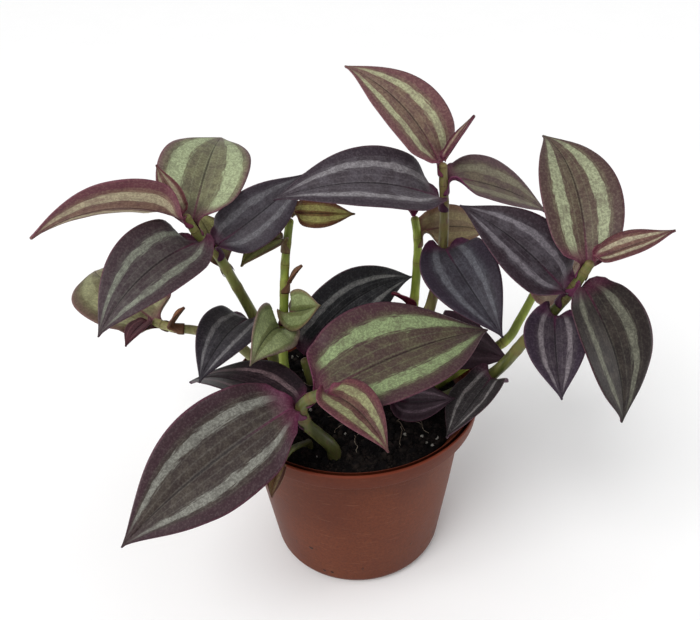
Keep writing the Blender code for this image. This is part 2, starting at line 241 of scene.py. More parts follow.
class Finish(Tree):
    """A material, with the places and attributes that its patterns follow."""

    def __init__(self, name, **constants):
        self.material = bpy.data.materials.new(name)
        self.material.use_nodes = True
        super().__init__(self.material.node_tree)
        self.shader = self.group.nodes["Principled BSDF"]
        for key, value in constants.items():
            self.shader.inputs[key.replace("_", " ")].default_value = value
        self.place = self.node("ShaderNodeTexCoord", {}, {}, "Object")

    def attribute(self, name, output="Fac"):
        return self.node("ShaderNodeAttribute", {"attribute_name": name}, {}, output)

    def put(self, **wires):
        for key, value in wires.items():
            self.feed(self.shader.inputs[key.replace("_", " ")], value)

    def bump(self, height, depth, strength=1.0):
        """Relief of the given depth in millimetres."""
        inputs = {"Strength": strength, "Distance": depth * MM, "Height": height}
        self.put(Normal=self.node("ShaderNodeBump", {}, inputs))


floor_finish = Finish("pale_floor", Roughness=0.9)
speckle = floor_finish.noise(floor_finish.place, 30.0)
floor_finish.put(Base_Color=floor_finish.mix(speckle, tint(250, 250, 250), tint(253, 253, 253)))
floor.data.materials.append(floor_finish.material)
print("first finish:", floor_finish.material.name)

# %% [markdown]
# ## Shapes from Geometry Nodes
# Much of the plant follows a rule: a blade is a thin body round a curved sheet, a stem is a
# tube round a line, and grit lies scattered over the soil. Shape is a Geometry Nodes tree
# with named inputs. grow() puts it on an object, sets its inputs by their identifiers,
# and keeps the plain mesh that comes out, so that no live modifier is left behind.

# %% Shapes
SOCKETS = {float: "NodeSocketFloat", int: "NodeSocketInt"}


class Shape(Tree):
    """A Geometry Nodes tree whose inputs have names and starting values."""

    def __init__(self, name, **inputs):
        super().__init__(bpy.data.node_groups.new(name, "GeometryNodeTree"))
        interface = self.group.interface
        interface.new_socket("Geometry", in_out="OUTPUT", socket_type="NodeSocketGeometry")
        interface.new_socket("Geometry", in_out="INPUT", socket_type="NodeSocketGeometry")
        self.keys = {}
        for label, value in inputs.items():
            socket = interface.new_socket(label, in_out="INPUT", socket_type=SOCKETS[type(value)])
            socket.default_value = value
            self.keys[label] = socket.identifier
        socket = interface.new_socket("Finish", in_out="INPUT", socket_type="NodeSocketMaterial")
        self.keys["Finish"] = socket.identifier
        self.start = self.group.nodes.new("NodeGroupInput")

    def __getitem__(self, label):
        return Wire(self, self.start.outputs[label])

    def attribute(self, name):
        return self.node("GeometryNodeInputNamedAttribute", {}, {"Name": name})

    def store(self, geometry, name, value):
        inputs = {"Geometry": geometry, "Name": name, "Value": value}
        return self.node("GeometryNodeStoreNamedAttribute", {}, inputs)

    def shift(self, geometry, offset):
        return self.node("GeometryNodeSetPosition", {}, {"Geometry": geometry, "Offset": offset})

    def position(self):
        return self.node("GeometryNodeInputPosition", {}, {})

    def normal(self):
        return self.node("GeometryNodeInputNormal", {}, {})

    def random_turn(self, low, high):
        inputs = {0: low, 1: high, "Seed": self["Seed"]}
        return self.node("FunctionNodeRandomValue", {"data_type": "FLOAT_VECTOR"}, inputs)

    def random_size(self, low, high, seed):
        inputs = {2: low, 3: high, "Seed": seed}
        return self.node("FunctionNodeRandomValue", {"data_type": "FLOAT"}, inputs, 1)

    def real(self, geometry):
        """Instances made into plain mesh or curve."""
        return self.node("GeometryNodeRealizeInstances", {}, {"Geometry": geometry})

    def copies(self, points, instance, turn, scale):
        """A real copy of the instance on each point."""
        inputs = {"Points": points, "Instance": instance, "Rotation": turn, "Scale": scale}
        return self.real(self.node("GeometryNodeInstanceOnPoints", {}, inputs))

    def join(self, *geometries):
        made = self.group.nodes.new("GeometryNodeJoinGeometry")
        for geometry in reversed(geometries):
            self.group.links.new(geometry.socket, made.inputs[0])
        return Wire(self, made.outputs[0])

    def end(self, geometry):
        """The last nodes of the tree: instances made real, then the finish."""
        inputs = {"Geometry": self.real(geometry), "Material": self["Finish"]}
        painted = self.node("GeometryNodeSetMaterial", {}, inputs)
        end = self.group.nodes.new("NodeGroupOutput")
        self.group.links.new(painted.socket, end.inputs[0])


def add_piece(name, mesh):
    piece = bpy.data.objects.new(name, mesh)
    bpy.context.scene.collection.objects.link(piece)
    return piece


def grow(piece, shape, finish, **values):
    """Runs the shape on the piece and leaves the result as its plain mesh."""
    modifier = piece.modifiers.new(shape.group.name, "NODES")
    modifier.node_group = shape.group
    modifier[shape.keys["Finish"]] = finish.material
    for label, value in values.items():
        modifier[shape.keys[label]] = value
    bpy.context.view_layer.update()
    graph = bpy.context.evaluated_depsgraph_get()
    mesh = bpy.data.meshes.new_from_object(piece.evaluated_get(graph))
    piece.modifiers.clear()
    piece.data = mesh
    mesh.name = piece.name
    mesh.shade_smooth()
    return piece


def finished(piece, slot, *nodes):
    """Hands a finished piece to the frame, in place of the CAD nodes that it stands for."""
    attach(piece, "root")
    if nodes:
        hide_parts(*nodes)
    print(piece.name, len(piece.data.polygons), "faces")


print("sockets known:", len(SOCKETS))

# %% [markdown]
# ## The pot
# The pot is one thin moulding: a tapered wall, a stepped collar that stiffens the rim, a
# rounded foot and drainage holes in the floor. It could be cut from cylinders, but a turned
# outline follows the mould's soft corners better, so the outline is written once and a
# Screw modifier turns it. The drainage holes repeat on a circle, so a tree makes them.

# %% Outline of the pot
POT_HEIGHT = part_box("pot")[1].z / MM
RIM_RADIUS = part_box("pot")[1].x / MM
COLLAR_FOOT = RIM_RADIUS - 0.8
COLLAR_DEPTH = 5.6
SHOULDER_RADIUS = RIM_RADIUS - 4.4
BASE_RADIUS = 27.1
BASE_ROUND = 4.0
WALL = 1.3
FLOOR_THICKNESS = 1.8
FOOT_RING = 22.0           # inside this radius the underside stands a little off the table
FOOT_STEP = 0.4
LIP_ROUND = 0.5
CORNER_ROUND = 0.4         # under the collar
POT_STEPS = 144
shoulder = POT_HEIGHT - COLLAR_DEPTH


def arc(centre, radius, start, end, count=7):
    """Points on an arc of the outline, angles in degrees."""
    angles = [radians(start + (end - start) * i / (count - 1)) for i in range(count)]
    return [(centre[0] + radius * cos(a), centre[1] + radius * sin(a)) for a in angles]


pot_outline = [
    *arc((RIM_RADIUS - LIP_ROUND, POT_HEIGHT - LIP_ROUND), LIP_ROUND, 90, 0),
    *arc((COLLAR_FOOT - CORNER_ROUND, shoulder + 0.3), CORNER_ROUND, 0, -90),
    *arc((SHOULDER_RADIUS + 0.5, shoulder - 0.6), 0.5, 90, 180),
    (0.5 * (SHOULDER_RADIUS + BASE_RADIUS), 0.5 * shoulder),
    *arc((BASE_RADIUS - BASE_ROUND, BASE_ROUND), BASE_ROUND, -5, -90, 12),
    (FOOT_RING, 0.0), (FOOT_RING - FOOT_STEP, FOOT_STEP), (0.0, FOOT_STEP),
    (0.0, FLOOR_THICKNESS), (BASE_RADIUS - BASE_ROUND, FLOOR_THICKNESS),
    (BASE_RADIUS - WALL, BASE_ROUND + 1.0),
    *arc((SHOULDER_RADIUS - WALL + 0.6, shoulder - 0.9), 0.6, 180, 90),
    *arc((COLLAR_FOOT - WALL - 1.0, shoulder + 0.6), 0.7, -90, 0),
    *arc((RIM_RADIUS - WALL - 0.1, POT_HEIGHT - LIP_ROUND), LIP_ROUND, 180, 90),
]
print("outline points:", len(pot_outline))

# %% Turn the pot
HOLE_COUNT = 6
HOLE_RADIUS = 2.6
HOLE_RING = 17.0
HOLE_STEPS = 32
MERGE_DISTANCE = 0.00002   # metres, where the outline meets the middle line


def turned(name, outline, steps):
    """An outline of (radius, height) down the outside of a solid, turned about the middle."""
    mesh = bpy.data.meshes.new(name)
    points = [(radius * MM, 0.0, height * MM) for radius, height in outline]
    mesh.from_pydata(points, [(i, i + 1) for i in range(len(points) - 1)], [])
    piece = add_piece(name, mesh)
    screw = piece.modifiers.new("turn", "SCREW")
    screw.steps = steps
    screw.render_steps = steps
    screw.use_merge_vertices = True
    screw.merge_threshold = MERGE_DISTANCE
    return piece


drilled = Shape("drilled", Holes=HOLE_COUNT, Ring=HOLE_RING * MM, Radius=HOLE_RADIUS * MM,
                Turn=pi / HOLE_COUNT)
circle = drilled.node("GeometryNodeMeshCircle", {},
                      {"Vertices": drilled["Holes"], "Radius": drilled["Ring"]})
circle = drilled.node("GeometryNodeTransform", {},
                      {"Geometry": circle, "Rotation": drilled.vector(0.0, 0.0, drilled["Turn"])})
bit = drilled.node("GeometryNodeMeshCylinder", {},
                   {"Vertices": HOLE_STEPS, "Radius": drilled["Radius"],
                    "Depth": 4 * FLOOR_THICKNESS * MM})
bits = drilled.node("GeometryNodeInstanceOnPoints", {}, {"Points": circle, "Instance": bit})
body = drilled.node("GeometryNodeMeshBoolean", {"operation": "DIFFERENCE", "solver": "EXACT"},
                    {"Mesh 1": drilled["Geometry"], "Mesh 2": drilled.real(bits)})
drilled.end(body)
print("holes:", HOLE_COUNT)

# %% [markdown]
# The plastic is a terracotta brown with a dull, slightly grainy skin. Its collar is painted a
# little darker and redder, and the top edge of its lip is lighter, a painted highlight. Handling
# leaves faint scuffs round the wall, and watering leaves dust and a few dark specks low down.
# All of these are noises in Object coordinates, so they stay on the pot from every side.

# %% Finish of the pot
pot_finish = Finish("terracotta_plastic", Specular_IOR_Level=0.12)
where = pot_finish.place
height = pot_finish.node("ShaderNodeSeparateXYZ", {}, {"Vector": where}, "Z")
flat = pot_finish.node("ShaderNodeMapping", {}, {"Vector": where, "Scale": (1.0, 1.0, 6.0)})
cloud = pot_finish.noise(where, 28.0, 3.0)
grain = pot_finish.noise(where, 1300.0, 3.0, 0.75)
scuff = pot_finish.noise(flat, 160.0, 4.0, 0.6).rise(0.56, 0.72)
collar = height.rise((shoulder - 0.6) * MM, (shoulder + 0.2) * MM)
# The top edge of the lip, where the painted highlight goes.
lip_highlight = height.rise((POT_HEIGHT - 0.9) * MM, (POT_HEIGHT - 0.2) * MM)
speck = pot_finish.noise(where, 300.0, 1.0, 0.5, 3.0).rise(0.66, 0.69)
patch = pot_finish.noise(where, 60.0, 1.0, 0.5, 5.0).rise(0.48, 0.56)
speck = speck * patch * height.fall(0.016, 0.034)
dust = pot_finish.noise(where, 90.0, 5.0, 0.7, 8.0).rise(0.5, 0.8) * height.fall(0.004, 0.035)
colour = pot_finish.mix(cloud.rise(0.35, 0.65), tint(86, 38, 20), tint(102, 50, 28))
colour = pot_finish.mix(grain.rise(0.4, 0.62) * 0.4, colour, tint(70, 32, 20))
colour = pot_finish.mix(scuff * 0.13, colour, tint(160, 112, 90))
colour = pot_finish.mix(dust * 0.15, colour, tint(140, 104, 84))
# The collar is painted a little darker and redder.
colour = pot_finish.mix(collar * 0.18, colour, tint(92, 38, 26))
# Painted highlight: the top edge of the lip is painted lighter and redder, as where the light
# falls on it.
colour = pot_finish.mix(lip_highlight * 0.5, colour, tint(124, 56, 38))
colour = pot_finish.mix(speck, colour, tint(40, 26, 20))
pot_finish.put(Base_Color=colour, Roughness=0.40 + cloud * 0.1 + scuff * 0.12 + dust * 0.2)
pot_finish.bump(grain * 0.6 + scuff * 0.5 + speck, 0.06)

SHARP_ANGLE = radians(40)
pot = grow(turned("nursery_pot", pot_outline, POT_STEPS), drilled, pot_finish)
pot.data.set_sharp_from_angle(angle=SHARP_ANGLE)
finished(pot, "pot", "pot")

# %% [markdown]
# ## The soil
# Potting soil is dark peat: lumps a few millimetres across, grit between them, a little
# pale perlite, and thin dry roots that lie on top. One bumpy body fills the pot. Two noises
# lift its top into lumps, which is enough at this size, and scattered pieces do the rest.

# %% Body of the soil
SOIL_TOP = 54.6
SOIL_CROWN = 0.9
SOIL_RADIUS = SHOULDER_RADIUS - WALL - 0.25
SOIL_RINGS = 30
SOIL_STEPS = 110

soil_outline = [
    (SOIL_RADIUS * i / SOIL_RINGS, SOIL_TOP + SOIL_CROWN * (1 - (i / SOIL_RINGS) ** 2))
    for i in range(SOIL_RINGS + 1)
]
soil_outline += [
    (SOIL_RADIUS, shoulder - 1.3), (BASE_RADIUS - WALL - 0.2, BASE_ROUND + 2.0),
    (BASE_RADIUS - BASE_ROUND - 0.6, FLOOR_THICKNESS + 0.3), (0.0, FLOOR_THICKNESS + 0.3),
]
lumpy = Shape("lumpy", Height=2.4 * MM, Seed=1.0)
spot = lumpy.position()
level = lumpy.node("ShaderNodeSeparateXYZ", {}, {"Vector": spot}, "Z")
top = level.rise((SOIL_TOP - 0.5) * MM, SOIL_TOP * MM)
coarse = lumpy.noise(spot, 170.0, 2.0, 0.5, lumpy["Seed"])
fine = lumpy.noise(spot, 620.0, 2.0, 0.6, lumpy["Seed"])
lift = (0.72 * coarse + 0.28 * fine - 0.5) * top * lumpy["Height"]
lumpy.end(lumpy.shift(lumpy["Geometry"], lumpy.vector(0.0, 0.0, lift)))
print("soil rings:", SOIL_RINGS)

# %% Finish of the soil
def earth(name, dark, light, coarse_scale=500.0):
    """A rough, crumbly finish between two colours."""
    finish = Finish(name, Specular_IOR_Level=0.1)
    crumbs = finish.noise(finish.place, coarse_scale, 4.0, 0.65)
    dots = finish.noise(finish.place, 6 * coarse_scale, 2.0, 0.6, 2.0)
    tone = finish.mix(crumbs.rise(0.42, 0.72), dark, light)
    finish.put(Base_Color=finish.mix(dots * 0.5, tone, dark), Roughness=0.98 - crumbs * 0.15)
    finish.bump(crumbs + dots * 0.4, 0.25)
    return finish


peat = earth("peat", tint(13, 11, 12), tint(42, 35, 32))
crumb_finish = earth("peat_crumbs", tint(15, 13, 14), tint(54, 46, 41), 300.0)
perlite_finish = earth("perlite", tint(150, 148, 140), tint(205, 203, 196), 900.0)
fibre_finish = earth("dry_roots", tint(96, 84, 72), tint(170, 160, 144), 700.0)
soil = grow(turned("potting_soil", soil_outline, SOIL_STEPS), lumpy, peat)
finished(soil, "soil", "soil")

# %% [markdown]
# Grit is a small icosphere repeated over the top of the soil. It could be placed by hand,
# but a scatter with a fixed seed looks less arranged. Each grain gets its own size and turn,
# and a noise then pushes its corners about, so that no two grains look alike.

# %% Scatter of grains
SOIL_DIP = 2.0             # nothing is scattered further than this below the soil's edge
GRAIN_DENT = 0.9


def soil_points(shape, spread):
    """Points over the top of the soil, within the spread from the middle, in metres."""
    x = shape.node("ShaderNodeSeparateXYZ", {}, {"Vector": shape.position()}, "X")
    away = (x ** 2 + x.output("Y") ** 2) ** 0.5
    inside = shape.maths("LESS_THAN", away, spread)
    inside = inside * shape.maths("GREATER_THAN", x.output("Z"), (SOIL_TOP - SOIL_DIP) * MM)
    return shape.node("GeometryNodeDistributePointsOnFaces", {},
                      {"Mesh": shape["Geometry"], "Selection": inside,
                       "Density": shape["Amount"] / MM ** 2, "Seed": shape["Seed"]})


scattered = Shape("scattered", Amount=0.3, Smallest=0.3, Largest=1.0, Roundness=2,
                  Spread=0.030, Seed=1)
grain_shape = scattered.node("GeometryNodeMeshIcoSphere", {},
                             {"Radius": 0.5 * MM, "Subdivisions": scattered["Roundness"]})
any_turn = scattered.random_turn((0.0, 0.0, 0.0), (2 * pi, 2 * pi, 2 * pi))
sizes = [scattered.random_size(scattered["Smallest"], scattered["Largest"],
                               scattered["Seed"] + number) for number in (1, 2, 3)]
grains = scattered.copies(soil_points(scattered, scattered["Spread"]), grain_shape, any_turn,
                          scattered.vector(*sizes))
dent = scattered.noise(scattered.position(), 1500.0, 1.0) - 0.5
dent = scattered.scaled(scattered.normal(), dent * GRAIN_DENT * MM)
scattered.end(scattered.shift(grains, dent))
print("scatter ready")

# %% Crumbs and perlite
SCATTERS = (
    ("peat_grit", crumb_finish, 0.95, 0.35, 1.5, 1, 0.0315, 11),
    ("peat_lumps", crumb_finish, 0.10, 1.4, 3.2, 2, 0.0300, 23),
    ("perlite_grains", perlite_finish, 0.020, 0.7, 1.7, 2, 0.0300, 37),
)
for name, finish, amount, smallest, largest, roundness, spread, seed in SCATTERS:
    scatter = grow(add_piece(name, soil.data.copy()), scattered, finish,
                   Amount=amount, Smallest=smallest, Largest=largest, Roundness=roundness,
                   Spread=spread, Seed=seed)
    finished(scatter, "soil")

# %% [markdown]
# Dry roots and frayed bark lie on the soil as thin pale threads. Each is a short bent line,
# wriggled by a noise and then swept with a four-sided outline, which is round enough for a
# thread a fifth of a millimetre thick.

# %% Threads on the soil
THREAD_LENGTH = 9.0

threads = Shape("threads", Amount=0.012, Thickness=0.10, Wriggle=6.0, Seed=1)
half = THREAD_LENGTH / 2 * MM
bow = threads.node("GeometryNodeCurveQuadraticBezier", {},
                   {"Resolution": 14, "Start": (-half, 0.0, 0.0), "End": (half, 0.0, 0.0),
                    "Middle": (0.0, 0.4 * half, 0.5 * half)})
lie = threads.random_turn((-0.3, -0.3, 0.0), (0.3, 0.3, 2 * pi))
stretch = threads.random_size(0.35, 1.2, threads["Seed"])
bows = threads.copies(soil_points(threads, 0.8 * SOIL_RADIUS * MM), bow, lie,
                      threads.vector(stretch, stretch, stretch))
sway = threads.node("ShaderNodeTexNoise", {}, {"Vector": threads.position(), "Scale": 210.0},
                    "Color")
sway = threads.node("ShaderNodeVectorMath", {"operation": "SUBTRACT"},
                    {0: sway, 1: (0.5, 0.5, 0.42)})
bows = threads.shift(bows, threads.scaled(sway, threads["Wriggle"] * MM))
outline = threads.node("GeometryNodeCurvePrimitiveCircle", {},
                       {"Resolution": 4, "Radius": threads["Thickness"] * MM})
threads.end(threads.node("GeometryNodeCurveToMesh", {},
                         {"Curve": bows, "Profile Curve": outline, "Fill Caps": True}))
roots = grow(add_piece("dry_root_threads", soil.data.copy()), threads, fibre_finish, Seed=5)
finished(roots, "soil")

# %% [markdown]
# ## The stems
# A tradescantia stem is a juicy green tube that changes direction a little at every node,
# where it also swells. The CAD part gives each stem as a few points on a smooth line, and
# the same points are used here, so the stems and the leaves meet where they should. A bevel
# on a curve would give a plain hose, so a tree sweeps a ring along the line instead, at a
# girth that is worked out for every point.

# %% Lines of the stems
STEMS = {
    "stem_front": ((-6, -25, 43), (-6, -25, 55), (-7, -26, 60), (-10, -27, 65),
                   (-13, -29, 71), (-14, -30, 77), (-12, -31, 81), (-8, -32, 84)),
    "stem_rim": ((-13, -22, 48), (-13, -22, 57), (-14, -25, 60), (-16, -28, 62),
                 (-18, -31, 63), (-20, -35, 63)),
    "stem_left_tall": ((-22, 9, 43), (-22, 9, 55), (-26, 12, 66), (-30, 14, 77),
                       (-34, 12, 90), (-38, 9, 103), (-42, 7, 110), (-44, 5, 117)),
    "stem_left_low": ((-25, 4, 43), (-25, 4, 55), (-30, 5, 67), (-38, 6, 75),
                      (-47, 6, 78), (-53, 6, 79), (-59, 7, 81)),
    "stem_back_left": ((-20, 1, 43), (-20, 1, 55), (-21, 5, 69), (-20, 11, 83),
                       (-19, 16, 95), (-17, 20, 107)),
    "stem_back": ((18, 21, 43), (18, 21, 55), (20, 24, 73), (21, 26, 87),
                  (21, 27, 95), (20, 28, 102)),
    "stem_tall": ((21, 16, 43), (21, 16, 55), (23, 19, 68), (25, 20, 75),
                  (27, 20, 86), (28, 20, 96), (28, 20, 108), (27, 20, 123)),
    "stem_right": ((24, -4, 43), (24, -4, 54), (29, -5, 59), (37, -6, 64),
                   (43, -8, 72), (48, -10, 82), (55, -12, 94), (59, -13, 102), (62, -14, 110)),
    "stem_right_back": ((25, 4, 43), (25, 4, 54), (36, 4, 64), (46, 4, 72),
                        (50, 6, 78), (54, 8, 86)),
    "stem_middle": ((-13, 7, 43), (-13, 7, 55), (-14, 8, 60), (-15, 9, 64)),
    "stem_centre": ((4, -8, 43), (4, -8, 55), (7, -9, 60), (11, -11, 63)),
}
# Radius at the foot and at the tip.
STEM_RADII = {
    "stem_front": (2.1, 1.4),
    "stem_rim": (0.9, 0.8),
    "stem_left_tall": (2.1, 1.1),
    "stem_left_low": (1.8, 1.2),
    "stem_back_left": (1.6, 1.2),
    "stem_back": (1.6, 1.2),
    "stem_tall": (2.1, 1.2),
    "stem_right": (2.1, 1.2),
    "stem_right_back": (1.7, 1.2),
    "stem_middle": (1.7, 1.5),
    "stem_centre": (1.5, 1.3),
}


def unit(vector):
    """The vector at length 1."""
    return vector / np.linalg.norm(vector)


def curve_point(points, place):
    """Point and direction on the smooth curve through the points, at a place in points."""
    points = np.asarray(points, float)
    padded = np.vstack([2 * points[0] - points[1], points, 2 * points[-1] - points[-2]])
    span = min(int(place), len(points) - 2)
    t = place - span
    before, start, end, after = padded[span:span + 4]
    linear = end - before
    square = 2 * before - 5 * start + 4 * end - after
    cube = -before + 3 * start - 3 * end + after
    position = 0.5 * (2 * start + linear * t + square * t ** 2 + cube * t ** 3)
    slope = linear + 2 * square * t + 3 * cube * t ** 2
    return position, unit(slope)


def stem_radius(stem, place):
    foot, tip = STEM_RADII[stem]
    return foot + (tip - foot) * place / (len(STEMS[stem]) - 1)


print("stems:", len(STEMS))

# %% [markdown]
# The leaves come next in the plan, because a stem swells where a leaf grows. Each leaf is one
# line of growth values: the stem and the place on it in points, the compass heading, the
# rise at its base, its length and width, how far it droops and sweeps by its tip, and how
# far it rolls about its own midrib.

# %% Growth of the leaves
LEAVES = (
    ("leaf_front_left", "stem_front", 5.1, -155, -17, 60, 30, 27, -5, 32),
    ("leaf_front_right", "stem_front", 6.3, 27, 16, 57, 35, 33, 5, -12),
    ("leaf_front_young", "stem_front", 7.0, -50, 33, 27, 13, 74, -6, -12),
    ("leaf_over_rim", "stem_rim", 5.0, -110, 0, 10, 6, 60, 0, -15),
    ("leaf_left_crown", "stem_left_tall", 6.2, 80, 35, 48, 27, 55, 10, -10),
    ("leaf_left_reaching", "stem_left_tall", 6.85, -160, 38, 42, 22, 66, 3, -48),
    ("leaf_left_bud", "stem_left_tall", 7.0, 155, 65, 15, 7, 0, -5, 60),
    ("leaf_left_hanging", "stem_left_tall", 5.55, -125, 19, 42, 23, 68, -10, 25),
    ("leaf_left_behind", "stem_left_tall", 4.5, 115, 30, 24, 12, 30, 0, 0),
    ("leaf_left_inner", "stem_left_tall", 5.0, 16, 29, 34, 17, 8, 30, -55),
    ("leaf_left_dark", "stem_left_tall", 2.9, -112, 29, 36, 18, 51, 5, 14),
    ("leaf_low_round", "stem_left_low", 5.6, 150, 25, 44, 28, 50, -40, 15),
    ("leaf_low_magenta", "stem_left_low", 6.0, -110, 20, 14, 7, 35, 5, -5),
    ("leaf_low_amber", "stem_left_low", 4.9, -10, 60, 9, 6, 10, 0, 0),
    ("leaf_rim_left", "stem_front", 4.4, 138, 13, 45, 21, 50, 10, -8),
    ("leaf_middle_back", "stem_middle", 3.0, 41, 44, 46, 24, 55, -15, -65),
    ("leaf_pale_heart", "stem_back_left", 2.4, -98, 50, 32, 16, 65, -10, 50),
    ("leaf_pale_round", "stem_back_left", 2.75, -45, 25, 20, 13, -15, -10, -60),
    ("sheath_dry", "stem_back_left", 3.45, -10, 68, 8, 5, 20, 0, 0),
    ("leaf_back_left_amber", "stem_back_left", 5.0, 0, -5, 19, 9, 0, 5, -65),
    ("leaf_back_left_olive", "stem_back_left", 4.4, -150, 10, 16, 10, 60, -5, 10),
    ("leaf_tall_left", "stem_tall", 6.2, -159, 35, 52, 23, 48, -5, 28),
    ("leaf_tall_top", "stem_tall", 6.93, 149, 66, 40, 21, 55, 0, 20),
    ("leaf_tall_bud", "stem_tall", 7.0, 15, 57, 15, 7, 5, 5, 15),
    ("leaf_tall_right", "stem_tall", 6.55, 12, -11, 36, 18, 30, 0, -25),
    ("leaf_tall_low", "stem_tall", 4.9, -82, 4, 38, 22, 40, 28, -22),
    ("leaf_tall_foot", "stem_tall", 1.8, -47, 6, 32, 18, -5, 0, -60),
    ("leaf_back_olive", "stem_back", 4.0, 22, 5, 26, 14, 40, 5, -55),
    ("leaf_back_bud", "stem_back", 5.0, -117, 66, 9, 4, 25, 0, 0),
    ("leaf_back_low", "stem_back", 1.9, -134, 60, 14, 7, 25, 0, 0),
    ("leaf_right_inner", "stem_right", 6.45, 153, 48, 37, 20, 30, 0, 35),
    ("leaf_right_crown", "stem_right", 7.6, 89, 58, 48, 22, 65, 15, 5),
    ("leaf_right_reaching", "stem_right", 8.0, -15, 29, 21, 10, 0, 5, -15),
    ("leaf_right_hanging", "stem_right", 7.0, -60, -30, 41, 24, 57, 6, -2),
    ("leaf_right_heart", "stem_right", 5.85, -104, -8, 28, 17, 20, 15, -5),
    ("leaf_over_right_rim", "stem_right", 3.5, -122, 2, 30, 16, 7, -3, -21),
    ("leaf_right_back_pale", "stem_right_back", 5.0, -50, 35, 23, 14, -35, 0, -65),
    ("leaf_centre_low", "stem_centre", 3.0, -40, 25, 22, 12, -5, 10, -55),
)
print("leaves:", len(LEAVES))

# %% [markdown]
# Every leaf leaves a ring on its stem, and old nodes whose leaves have dropped keep theirs.
# The ring attribute is 1 at a node and fades to 0 a few millimetres away. It swells the
# tube, and later it colours the node tan. The tip is closed by a small dome: its girth runs
# to nothing over the last radius of its length.

# %% Girth along a stem
OLD_NODES = {
    "stem_left_tall": (1.9, 3.9),
    "stem_left_low": (1.6, 2.9),
    "stem_back_left": (3.25, 3.9),
    "stem_back": (2.1, 3.0),
    "stem_tall": (2.6, 3.9, 5.6),
    "stem_right": (2.6, 4.7, 5.0),
    "stem_right_back": (1.6, 2.9),
}
STEM_SAMPLES = 14          # per span
SWELLING = 0.08            # of the girth, at a node
NODE_REACH = 1.5           # over which a node fades
DOME = (0.97, 0.9, 0.8, 0.65, 0.5, 0.35, 0.2, 0.1, 0.03)


def stem_line(stem):
    """The stem's line as a mesh of edges, with its girth, reach and node on every point."""
    points = STEMS[stem]
    last = len(points) - 1
    tip_share = stem_radius(stem, last) / np.linalg.norm(np.subtract(points[-1], points[-2]))
    places = list(np.linspace(0, last - tip_share, last * STEM_SAMPLES))
    places += [last - tip_share * share for share in DOME]
    track = np.array([curve_point(points, place)[0] for place in places])
    reach = np.concatenate([[0], np.cumsum(np.linalg.norm(np.diff(track, axis=0), axis=1))])
    nodes = [growth[2] for growth in LEAVES if growth[1] == stem] + list(OLD_NODES.get(stem, ()))
    node_reach = np.interp(nodes, places, reach)
    node = np.zeros(len(places))
    for centre in node_reach:
        node = np.maximum(node, np.exp(-((reach - centre) / NODE_REACH) ** 2))
    girth = np.array([stem_radius(stem, place) for place in places]) * (1 + SWELLING * node)
    left = (last - np.array(places)) / tip_share
    girth *= np.sqrt(1 - np.clip(1 - left, 0, 0.995) ** 2)
    mesh = bpy.data.meshes.new(stem)
    mesh.from_pydata([tuple(point * MM) for point in track],
                     [(i, i + 1) for i in range(len(track) - 1)], [])
    for label, values in (("girth", girth * MM), ("reach", reach), ("node", node)):
        mesh.attributes.new(label, "FLOAT", "POINT").data.foreach_set("value", values)
    return mesh


print("points on the tallest stem:", len(stem_line("stem_tall").vertices))

# %% Tree of a stem
RING_STEPS = 22

tube = Shape("stem_tube", Ring_Steps=RING_STEPS)
line = tube.node("GeometryNodeMeshToCurve", {}, {"Mesh": tube["Geometry"]})
outline = tube.node("GeometryNodeCurvePrimitiveCircle", {},
                    {"Resolution": tube["Ring_Steps"], "Radius": 1.0})
swept = tube.node("GeometryNodeCurveToMesh", {},
                  {"Curve": line, "Profile Curve": outline, "Scale": tube.attribute("girth"),
                   "Fill Caps": True})
tube.end(swept)
print("ring steps:", RING_STEPS)

# %% [markdown]
# The skin is yellow-green, with short purple-brown streaks that run along the stem, and a tan
# ring at each node. The dark skin is the green one darkened with painted shade, for the two
# stems that stand low under the front leaves. The streaks are a noise that is squeezed along
# the height, which serves because the stems stand more up than across.

# %% Finish of the stems
def stem_skin(name, green, pale, streak, streaks):
    """Juicy green skin with purple streaks and tan nodes."""
    skin = Finish(name, Specular_IOR_Level=0.35, Subsurface_Weight=0.12, Subsurface_Scale=0.002)
    skin.shader.inputs["Subsurface Radius"].default_value = (0.6, 1.0, 0.2)
    node = skin.attribute("node")
    reach = skin.attribute("reach")
    long = skin.node("ShaderNodeMapping", {}, {"Vector": skin.place, "Scale": (1.0, 1.0, 0.22)})
    broad = skin.noise(long, 300.0, 2.0)
    thin = skin.noise(long, 1500.0, 3.0, 0.6, 4.0)
    blotch = skin.noise(skin.place, 130.0, 3.0, 0.6, 7.0)
    colour = skin.mix(broad.rise(0.35, 0.65), tint(*green), tint(*pale))
    purple = thin.rise(0.5, 0.7) * blotch.rise(0.36, 0.6) * streaks
    colour = skin.mix(purple, colour, tint(*streak))
    band = node.rise(0.25, 0.8)
    scar = node.rise(0.93, 0.99)
    colour = skin.mix(band * (0.15 + 0.35 * thin), colour, tint(118, 96, 58))
    colour = skin.mix(scar * 0.35, colour, tint(84, 56, 40))
    foot = reach.fall(11.0, 20.0)
    colour = skin.mix(foot * 0.5, colour, tint(66, 58, 34))
    skin.put(Base_Color=colour, Roughness=0.36 + 0.15 * thin + 0.2 * band)
    skin.bump(thin * 0.5 + broad + scar, 0.12)
    return skin


